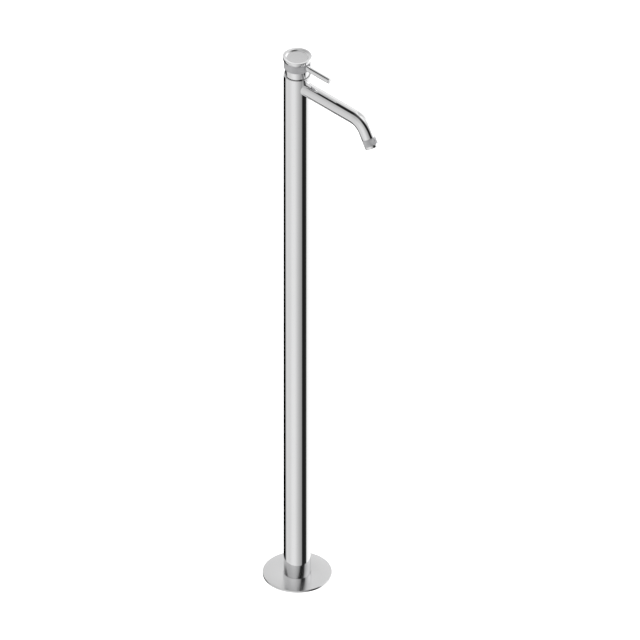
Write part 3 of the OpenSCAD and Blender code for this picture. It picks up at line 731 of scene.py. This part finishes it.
def pierced_disc(nodes, inputs):
    """A disc with round holes in even rows, each row half a pitch beside the next."""
    across = 24
    hole_sides = 20
    row = inputs["Pitch"] * math.sin(math.radians(60))
    grid = nodes.add("GeometryNodeMeshGrid", {
        "Size X": inputs["Pitch"] * across, "Size Y": row * across,
        "Vertices X": across + 1, "Vertices Y": across + 1})
    x, y, z = nodes.parts(nodes.add("GeometryNodeInputPosition"))
    odd = (y / row).math("ROUND").math("ABSOLUTE").math("MODULO", 2.0)
    grid = nodes.add("GeometryNodeSetPosition", {
        "Geometry": grid, "Offset": nodes.vector(odd * inputs["Pitch"] / 2, 0.0, 0.0)})
    x, y, z = nodes.parts(nodes.add("GeometryNodeInputPosition"))
    outside = (x * x + y * y) ** 0.5 > inputs["Field"]
    points = nodes.add("GeometryNodeDeleteGeometry", {"Geometry": grid, "Selection": outside})
    drill = nodes.add("GeometryNodeMeshCylinder", {
        "Vertices": hole_sides, "Radius": inputs["Hole"], "Depth": inputs["Thickness"] * 3})
    drills = nodes.add("GeometryNodeInstanceOnPoints", {"Points": points, "Instance": drill})
    drills = nodes.add("GeometryNodeRealizeInstances", {"Geometry": drills})
    disc = nodes.add("GeometryNodeMeshCylinder", {
        "Vertices": SMALL_SIDES, "Radius": inputs["Radius"], "Depth": inputs["Thickness"]})
    return nodes.add("GeometryNodeMeshBoolean", {"Mesh 1": disc, "Mesh 2": drills},
                     operation="DIFFERENCE", solver="EXACT")


def ridged_sleeve(name, radius, bore, height, count, cutters=()):
    """A sleeve about Z with upright ridges round it, and holes where the cutters are."""
    size = bpy.context.scene.mixer_sizes
    root = radius - size.ridge_depth
    land = size.ridge_land
    ease = 0.12 * MM
    step = 0.05 * MM
    rows = [land - step, land + step, height / 2, height - land - step, height - land + step]
    outline = eased([
        (bore, 0, ease), (root, 0, ease), *[(root, row, 0) for row in rows],
        (root, height, ease), (bore, height, ease),
    ])
    sleeve = lathe(name, outline, count * RIDGE_STEPS)
    if cutters:
        sleeve = cut(sleeve, cutters)
    values = {"Root": root, "Low": land, "High": height - land, "Depth": size.ridge_depth, "Ridges": count,
              "Material": bpy.data.materials["textured_steel"]}
    return grown(name, values, ridge_band, sleeve)


# The pieces


def make_foot():
    """The round cover plate on the floor."""
    size = bpy.context.scene.mixer_sizes
    hole = COLUMN_R + size.plate_gap
    rim = PLATE_R - size.plate_rim
    under = PLATE_TOP - size.plate_skin
    outline = eased([
        (hole, under, 0), (rim, under, 0), (rim, 0, FINE_EDGE), (PLATE_R, 0, FINE_EDGE),
        (PLATE_R, PLATE_TOP, size.plate_edge), (hole, PLATE_TOP, 2 * FINE_EDGE),
    ])
    plate = lathe("cover_plate", outline)
    piece("cover_plate", plate, "plate_steel", "column", "polished_steel", "base_cover_plate")


def make_column():
    """The upright tube, with the two screw holes at the back of its foot."""
    size = bpy.context.scene.mixer_sizes
    bore = COLUMN_R - size.column_wall
    band = 6 * MM
    outline = eased([
        (bore, COLUMN_FOOT, 0), (COLUMN_R, COLUMN_FOOT, FINE_EDGE),
        (COLUMN_R, SCREW_Z - band, 0), (COLUMN_R, SCREW_Z + band, 0),
        (COLUMN_R, COLUMN_TOP, size.column_edge), (bore, COLUMN_TOP, FINE_EDGE),
        (bore, SCREW_Z + band, 0), (bore, SCREW_Z - band, 0),
    ])
    holes = []
    for side in (-1, 1):
        hole = rod(size.screw_hole, bore - CUT, COLUMN_R + CUT)
        holes.append(moved(hole, along_x(SCREW_Z, math.pi + side * size.screw_angle)))
    tube = cut(lathe("column", outline), holes)
    piece("column", tube, "column_steel", "column", "polished_steel", "column_tube")


def make_spout():
    """The spout tube, coped to the column at its start."""
    size = bpy.context.scene.mixer_sizes
    values = {
        "Radius": SPOUT_R, "Wall": size.spout_wall, "Start": COLUMN_R - size.column_wall, "Height": SPOUT_Z,
        "Straight": size.straight, "Bend Radius": size.bend_radius, "Bend Angle": size.bend_angle,
        "Outlet": size.outlet_tube, "Material": bpy.data.materials["spout_steel"],
    }
    mesh = grown("spout", values, bent_tube)
    form = bmesh.new()
    form.from_mesh(mesh)
    cope_gap = 0.02 * MM
    cope_r = COLUMN_R + cope_gap
    open_edges = [edge for edge in form.edges if edge.is_boundary]
    first = [edge for edge in open_edges if edge.verts[0].co.x < COLUMN_R]
    last = [edge for edge in open_edges if edge.verts[0].co.x > COLUMN_R]
    for point in {point for edge in first for point in edge.verts}:
        point.co.x = math.sqrt(cope_r ** 2 - point.co.y ** 2)
    for ends in (first, last):
        bmesh.ops.bridge_loops(form, edges=ends)
    to_axis = at_outlet().inverted()
    rim = SPOUT_R - size.spout_wall / 2
    outer = [edge for edge in last if (to_axis @ edge.verts[0].co).xy.length > rim]
    bmesh.ops.bevel(form, geom=outer, offset=1.5 * FINE_EDGE, segments=2, profile=0.5, affect="EDGES")
    bmesh.ops.recalc_face_normals(form, faces=form.faces)
    form.to_mesh(mesh)
    form.free()
    piece("spout", mesh, "spout_steel", "column", "polished_steel", "spout_tube")


def make_outlet_ring():
    """The textured ring at the spout's end."""
    size = bpy.context.scene.mixer_sizes
    bore = SPOUT_R - size.spout_wall
    count = round(size.ridge_count * SPOUT_R / RING_R)
    ring = ridged_sleeve("outlet_ring", SPOUT_R, bore, size.outlet_ring, count)
    ring = moved(ring, at_outlet(size.outlet_tube + size.joint_line))
    piece("outlet_ring", ring, "textured_steel", "column", "textured_steel", "aerator_ring")


def lip_start():
    """Where the outlet's lip starts, as a distance past the bend."""
    size = bpy.context.scene.mixer_sizes
    return size.outlet_tube + size.joint_line + size.outlet_ring + size.joint_line / 2


def make_lip():
    """The polished lip below the textured ring, which is the outlet's edge."""
    size = bpy.context.scene.mixer_sizes
    bore = SPOUT_R - size.spout_wall
    seat = 2 * MM
    lip_edge = 0.12 * MM
    mouth_edge = 0.35 * MM
    outline = eased([
        (bore, 0, 0), (LIP_R, 0, lip_edge), (LIP_R, size.outlet_lip, size.outlet_bevel),
        (size.mouth_radius, size.outlet_lip, mouth_edge), (size.mouth_radius, -seat, 0), (bore, -seat, 0),
    ])
    lip = moved(lathe("outlet_lip", outline, SMALL_SIDES), at_outlet(lip_start()))
    piece("outlet_lip", lip, "outlet_steel", "column", "polished_steel", "aerator_lip")


def make_screen():
    """The pierced screen inside the outlet's mouth, and the cup behind it."""
    size = bpy.context.scene.mixer_sizes
    radius = size.mouth_radius - size.joint_line
    thickness = 2 * MM
    margin = 1.2 * MM
    values = {
        "Radius": radius, "Thickness": thickness, "Hole": size.hole_radius, "Pitch": size.hole_pitch,
        "Field": radius - margin - size.hole_radius, "Material": bpy.data.materials["white_plastic"],
    }
    face = lip_start() + size.outlet_lip - size.screen_depth
    screen = moved(grown("outlet_screen", values, pierced_disc), at_outlet(face - thickness / 2))
    piece("outlet_screen", screen, "white_plastic", "column", "white_plastic", "aerator_insert")

    cup_depth = 4 * MM
    inner = radius - 1 * MM
    outline = eased([(inner, -cup_depth, 0), (radius, -cup_depth, 0), (radius, 0, 0), (inner, 0, 0)])
    cup = moved(lathe("outlet_cup", outline, SMALL_SIDES), at_outlet(face - thickness))
    piece("outlet_cup", cup, "white_plastic", "column", "white_plastic", "aerator_insert")


def make_neck():
    """The polished neck, whose rounded shoulder lets the handle tilt over it."""
    size = bpy.context.scene.mixer_sizes
    shoulder = math.hypot(SKIRT_R, RING_Z - PIVOT_Z) - SKIRT_GAP
    shoulder_z = PIVOT_Z + math.sqrt(shoulder ** 2 - NECK_R ** 2)
    inner = NECK_R - size.neck_wall
    roof = NECK_TOP - 1.2 * MM
    outline = eased([
        (inner, NECK_FOOT, 0), (NECK_R, NECK_FOOT, FINE_EDGE), *arc(PIVOT_Z, shoulder, shoulder_z, NECK_TOP),
        (size.neck_opening, NECK_TOP, 1.5 * FINE_EDGE), (size.neck_opening, roof, 0), (inner, roof, 0),
    ])
    piece("neck", lathe("neck", outline), "column_steel", "column", "polished_steel", "neck_sleeve")


def make_handle_ring():
    """The textured ring of the handle, with its side holes for the lever and for the grub screw's key."""
    size = bpy.context.scene.mixer_sizes
    level = LEVER_Z - RING_Z
    lever_way = moved(rod(LEVER_R + LEVER_GAP, SKIRT_R - CUT, RING_R + CUT), along_x(level))
    key_way = moved(rod(KEY_R, SKIRT_R - CUT, RING_R + CUT), along_x(level, math.pi))
    ring = ridged_sleeve(
        "handle_ring", RING_R, SKIRT_R, CAP_Z - RING_Z, size.ridge_count, [lever_way, key_way])
    ring = moved(ring, Matrix.Translation((0, 0, RING_Z)))
    piece("ring_of_handle", ring, "textured_steel", "handle", "textured_steel", "handle_ring")


# Corners of the cap's flared side, in millimetres: inset from its radius, height over the ring, and easing
CAP_SIDE = ((0.3, 4.2, 3.0), (1, 1.5, 1.5))


def make_cap():
    """The dished cap, with its plug inside the textured ring and its hub round the stem."""
    size = bpy.context.scene.mixer_sizes
    plug = SKIRT_R - PUSH_GAP
    plug_wall = 2.35 * MM
    plug_bore = plug - plug_wall
    plug_foot = CAP_Z - 4 * MM
    seat = CAP_Z + PUSH_GAP
    dish = CAP_TOP - size.dish_depth
    roof = dish - size.cap_skin
    hub_foot = LEVER_Z - 3.8 * MM
    rim_inset = 0.3 * MM
    rim_drop = 0.7 * MM
    rim_edge = 0.4 * MM
    soft_edge = 0.5 * MM
    outline = eased([
        (0, dish, 0), (size.dish_radius, dish, soft_edge),
        (size.dish_radius + size.step_width, dish + size.step_height, soft_edge),
        (CAP_R - rim_inset, CAP_TOP, rim_edge), (CAP_R, CAP_TOP - rim_drop, rim_edge),
        *[(CAP_R - inset * MM, CAP_Z + rise * MM, ease * MM) for inset, rise, ease in CAP_SIDE],
        (RING_R, seat, FINE_EDGE), (plug, seat, 0), (plug, plug_foot, 1.5 * FINE_EDGE),
        (plug_bore, plug_foot, 0), (plug_bore, roof, soft_edge), (size.hub_radius, roof, 0),
        (size.hub_radius, hub_foot, 2 * FINE_EDGE), (0, hub_foot, 0),
    ], closed=False)
    stud_r = 3 * MM
    socket_end = roof - 0.1 * MM
    socket = block(size.stem_width, hub_foot - CUT, socket_end)
    lever_hole = moved(rod(LEVER_R + LEVER_GAP, plug_bore - CUT, plug + CUT), along_x(LEVER_Z))
    stud_hole = moved(rod(stud_r + PUSH_GAP, 0, size.hub_radius + CUT), along_x(LEVER_Z))
    key_hole = moved(rod(KEY_R, 0, plug + CUT), along_x(LEVER_Z, math.pi))
    cap = cut(lathe("cap", outline), [socket, lever_hole, stud_hole, key_hole])
    piece("cap_of_handle", cap, "cap_steel", "handle", "polished_steel", "handle_cap")


def make_lever():
    """The straight lever, with its eased tip."""
    size = bpy.context.scene.mixer_sizes
    outline = eased([
        (0, LEVER_START, 0), (LEVER_R, LEVER_START, 2 * FINE_EDGE), (LEVER_R, LEVER_TIP, size.lever_edge),
        (0, LEVER_TIP, 0),
    ], closed=False)
    lever = moved(lathe("lever", outline, SMALL_SIDES), along_x(LEVER_Z))
    piece("lever", lever, "lever_steel", "handle", "polished_steel", "lever_pin")


def dress_solids():
    """Puts a finish on every solid of the frame, also on those that a piece then replaces."""
    renamed = {"hose": "cold_braid", "polished_steel": "column_steel"}
    for node, thing in frame["nodes"].items():
        name = "hot_braid" if node == "hot_hose" else renamed.get(SLOTS[node], SLOTS[node])
        for slot in thing.material_slots:
            slot.material = bpy.data.materials[name]


# The studio


# The room that the steel mirrors. Its angles are in degrees from +X, where the spout points, towards +Y, and
# its heights go from 0 below to 1 overhead. Each stop is an angle or a height, with a value there.
ROOM_STRENGTH = 1.1
# Brightness of the walls by angle, and its share by height
WALLS = (
    (-180, 0.75), (-142, 0.66), (-116, 0.63), (-84, 0.76), (-64, 0.75), (-45, 0.59), (-14, 0.45), (20, 0.5),
    (52, 0.92), (70, 1.0), (126, 0.98), (150, 0.85), (180, 0.75),
)
FADING = ((0.0, 0.8), (0.2, 1.0), (0.5, 0.98), (0.66, 0.9), (0.82, 0.73), (0.94, 0.67), (1.0, 0.7))
# How much each screen shuts out, by angle and by height
SCREENS = (
    (((-45, 0.0), (-26, 0.15), (-12, 0.25), (0, 0.25), (12, 0.0)), ((0.82, 1.0), (0.88, 0.0))),
    (((-164, 1.0), (-152, 0.26), (-142, 0.0), (116, 0.0), (126, 0.39), (136, 0.95), (144, 1.0)),
     ((0.44, 1.0), (0.5, 0.0))),
    (((-164, 0.0), (-158, 1.0), (-152, 1.0), (-144, 0.0)), ((0.13, 1.0), (0.19, 0.0))),
    (((92, 0.0), (99, 0.25), (116, 0.25), (122, 0.0)), ((0.44, 0.0), (0.54, 1.0))),
)
# How much the beam shuts out, by the distance from its middle and by height, and where its back end begins
BEAM = ((0.25, 1.0), (0.3, 0.6), (0.35, 0.12), (0.42, 0.0))
BEAM_TOP = ((0.93, 0.97), (0.98, 0.85), (1.0, 0.85))
BEAM_BACK = ((0.8, 0.0), (0.84, 1.0))
# How far the beam's middle leans to -Y overhead, and how far its front swings to +Y, more so lower down
BEAM_LEAN = 0.13
BEAM_SWING = 0.12
# Light that the window and the skylight add, and where, by angle and by height
WINDOW = 1.4
WINDOW_PLACE = (
    ((50, 0.0), (60, 1.0), (88, 1.0), (98, 0.0)),
    ((0.38, 0.0), (0.44, 1.0), (0.6, 1.0), (0.68, 0.0)),
)
SKYLIGHT = 0.25
SKYLIGHT_PLACE = (((0, 0.0), (25, 1.0), (128, 1.0), (145, 0.0)), ((0.84, 0.0), (0.9, 1.0)))


def surroundings(nodes):
    """The room: light walls with screens, a window, a skylight and a dark beam up the front and overhead.

    The camera sees plain white instead.
    """
    x, y, z = nodes.parts(nodes.add("ShaderNodeTexCoord", out="Generated"))
    about = y.math("ARCTAN2", x) / math.tau + 0.5
    height = z * 0.5 + 0.5

    def round_room(stops):
        return nodes.ramp(about, *[((angle + 180) / 360, value) for angle, value in stops])

    def patch(angles, heights):
        return round_room(angles) * nodes.ramp(height, *heights)

    walls = round_room(WALLS)
    for screen in SCREENS:
        walls = walls * (1.0 - patch(*screen))
    middle = x.math("MAXIMUM", 0.0) * (1.0 - z) * BEAM_SWING - z * BEAM_LEAN
    ends = (x > 0.0).math("MAXIMUM", nodes.ramp(height, *BEAM_BACK))
    beam = nodes.ramp((y - middle).math("ABSOLUTE"), *BEAM) * ends * nodes.ramp(height, *BEAM_TOP)
    share = nodes.ramp(height, *FADING) + patch(*SKYLIGHT_PLACE) * SKYLIGHT
    colour = walls * (1.0 - beam) * share + patch(*WINDOW_PLACE) * WINDOW
    light = nodes.add("ShaderNodeBackground", {"Color": colour, "Strength": ROOM_STRENGTH})
    plain = nodes.add("ShaderNodeBackground", {"Color": (1, 1, 1, 1), "Strength": 1.0})
    seen = nodes.add("ShaderNodeLightPath", out="Is Camera Ray")
    return nodes.add("ShaderNodeMixShader", {0: seen, 1: light, 2: plain})


# How far the floor reaches each way, and how strongly it glows
FLOOR_REACH = 6
FLOOR_GLOW = 0.75
# The soft lamp over the mixer, which its steel doesn't mirror
LAMP_WIDTH = 2.4
LAMP_POWER = 30
LAMP_PLACE = (0.4, -0.5, 3)
# Width of the picture, and how far its middle is to the right of and above the frame's origin
PICTURE_WIDTH = 1.1171
PICTURE_RIGHT = 0.03971
PICTURE_UP = 0.4413
CAMERA_DISTANCE = 4


def make_stage():
    """The pale floor, the light and the camera."""
    scene = bpy.context.scene
    form = bmesh.new()
    bmesh.ops.create_grid(form, x_segments=1, y_segments=1, size=FLOOR_REACH)
    mesh = bpy.data.meshes.new("floor")
    form.to_mesh(mesh)
    form.free()
    mesh.materials.append(finish("pale_floor", floor_surface))
    floor = placed("floor", mesh)
    floor.visible_glossy = False

    world = bpy.data.worlds.new("studio")
    scene.world = world
    world.use_nodes = True
    world.node_tree.nodes.clear()
    nodes = Nodes(world.node_tree)
    nodes.add("ShaderNodeOutputWorld", {"Surface": surroundings(nodes)})

    lamp = bpy.data.lights.new("softbox", "AREA")
    lamp.shape = "DISK"
    lamp.size = LAMP_WIDTH
    lamp.energy = LAMP_POWER
    light = bpy.data.objects.new("softbox", lamp)
    light.location = LAMP_PLACE
    light.visible_glossy = False
    scene.collection.objects.link(light)

    lens = bpy.data.cameras.new("camera")
    lens.type = "ORTHO"
    lens.ortho_scale = PICTURE_WIDTH
    camera = bpy.data.objects.new("camera", lens)
    scene.collection.objects.link(camera)
    back = Vector((1, -1, 1)).normalized()
    right = Vector((1, 1, 0)).normalized()
    up = Vector((-1, 1, 2)).normalized()
    camera.location = right * PICTURE_RIGHT + up * PICTURE_UP + back * CAMERA_DISTANCE
    camera.rotation_mode = "QUATERNION"
    camera.rotation_quaternion = (-back).to_track_quat("-Z", "Y")
    scene.camera = camera
    scene.view_settings.view_transform = "Standard"


def floor_surface(nodes):
    """A white studio floor, which glows enough to stay pale under the object."""
    colour = bpy.context.scene.mixer_colours.floor
    grain = nodes.noise(nodes.place(), scale=30.0)
    here = nodes.blend(grain, tint(colour, 0.995), tint(colour, 1.005))
    glow = nodes.add("ShaderNodeEmission", {"Color": (1, 1, 1, 1), "Strength": FLOOR_GLOW})
    matte = nodes.add("ShaderNodeBsdfDiffuse", {"Color": here})
    return nodes.add("ShaderNodeAddShader", {0: glow, 1: matte})


# The add-on's operators, panel and registration


class MIXER_OT_finishes(bpy.types.Operator):
    """Makes every finish of the mixer"""

    bl_idname = "mixer.finishes"
    bl_label = "Finishes"

    def execute(self, context):
        make_finishes()
        return {"FINISHED"}


class MIXER_OT_solids(bpy.types.Operator):
    """Puts a finish on every solid of the frame"""

    bl_idname = "mixer.solids"
    bl_label = "Solids"

    def execute(self, context):
        dress_solids()
        return {"FINISHED"}


class MIXER_OT_foot(bpy.types.Operator):
    """Makes the cover plate on the floor"""

    bl_idname = "mixer.foot"
    bl_label = "Foot"

    def execute(self, context):
        make_foot()
        return {"FINISHED"}


class MIXER_OT_column(bpy.types.Operator):
    """Makes the upright tube"""

    bl_idname = "mixer.column"
    bl_label = "Column"

    def execute(self, context):
        make_column()
        return {"FINISHED"}


class MIXER_OT_spout(bpy.types.Operator):
    """Makes the bent spout tube"""

    bl_idname = "mixer.spout"
    bl_label = "Spout"

    def execute(self, context):
        make_spout()
        return {"FINISHED"}


class MIXER_OT_outlet_ring(bpy.types.Operator):
    """Makes the textured ring at the spout's end"""

    bl_idname = "mixer.outlet_ring"
    bl_label = "Outlet ring"

    def execute(self, context):
        make_outlet_ring()
        return {"FINISHED"}


class MIXER_OT_lip(bpy.types.Operator):
    """Makes the polished lip of the outlet"""

    bl_idname = "mixer.lip"
    bl_label = "Outlet lip"

    def execute(self, context):
        make_lip()
        return {"FINISHED"}


class MIXER_OT_screen(bpy.types.Operator):
    """Makes the pierced screen in the outlet's mouth"""

    bl_idname = "mixer.screen"
    bl_label = "Outlet screen"

    def execute(self, context):
        make_screen()
        return {"FINISHED"}


class MIXER_OT_neck(bpy.types.Operator):
    """Makes the polished neck under the handle"""

    bl_idname = "mixer.neck"
    bl_label = "Neck"

    def execute(self, context):
        make_neck()
        return {"FINISHED"}


class MIXER_OT_handle_ring(bpy.types.Operator):
    """Makes the textured ring of the handle"""

    bl_idname = "mixer.handle_ring"
    bl_label = "Handle ring"

    def execute(self, context):
        make_handle_ring()
        return {"FINISHED"}


class MIXER_OT_cap(bpy.types.Operator):
    """Makes the dished cap of the handle"""

    bl_idname = "mixer.cap"
    bl_label = "Cap"

    def execute(self, context):
        make_cap()
        return {"FINISHED"}


class MIXER_OT_lever(bpy.types.Operator):
    """Makes the lever"""

    bl_idname = "mixer.lever"
    bl_label = "Lever"

    def execute(self, context):
        make_lever()
        return {"FINISHED"}


class MIXER_OT_stage(bpy.types.Operator):
    """Makes the floor, the light and the camera"""

    bl_idname = "mixer.stage"
    bl_label = "Studio"

    def execute(self, context):
        make_stage()
        return {"FINISHED"}


OPERATORS = (
    MIXER_OT_finishes, MIXER_OT_solids, MIXER_OT_foot, MIXER_OT_column, MIXER_OT_spout, MIXER_OT_outlet_ring,
    MIXER_OT_lip, MIXER_OT_screen, MIXER_OT_neck, MIXER_OT_handle_ring, MIXER_OT_cap, MIXER_OT_lever,
    MIXER_OT_stage,
)


class MIXER_PT_panel(bpy.types.Panel):
    """Lists the mixer's pieces, sizes and colours"""

    bl_idname = "MIXER_PT_panel"
    bl_label = "Basin mixer"
    bl_space_type = "VIEW_3D"
    bl_region_type = "UI"
    bl_category = "Mixer"

    def draw(self, context):
        for operator in OPERATORS:
            self.layout.operator(operator.bl_idname)
        for group in (context.scene.mixer_sizes, context.scene.mixer_colours):
            for name in type(group).__annotations__:
                self.layout.prop(group, name)


CLASSES = (MixerSizes, MixerColours, *OPERATORS, MIXER_PT_panel)


def register():
    """Adds the classes and the scene's settings."""
    for kind in CLASSES:
        bpy.utils.register_class(kind)
    bpy.types.Scene.mixer_sizes = PointerProperty(type=MixerSizes)
    bpy.types.Scene.mixer_colours = PointerProperty(type=MixerColours)


def unregister():
    """Takes the scene's settings and the classes away."""
    del bpy.types.Scene.mixer_colours
    del bpy.types.Scene.mixer_sizes
    for kind in reversed(CLASSES):
        bpy.utils.unregister_class(kind)


def main():
    """Makes everything in order."""
    register()
    bpy.ops.mixer.finishes()
    bpy.ops.mixer.solids()
    bpy.ops.mixer.foot()
    bpy.ops.mixer.column()
    bpy.ops.mixer.spout()
    bpy.ops.mixer.outlet_ring()
    bpy.ops.mixer.lip()
    bpy.ops.mixer.screen()
    bpy.ops.mixer.neck()
    bpy.ops.mixer.handle_ring()
    bpy.ops.mixer.cap()
    bpy.ops.mixer.lever()
    bpy.ops.mixer.stage()


if __name__ == "__main__":
    main()
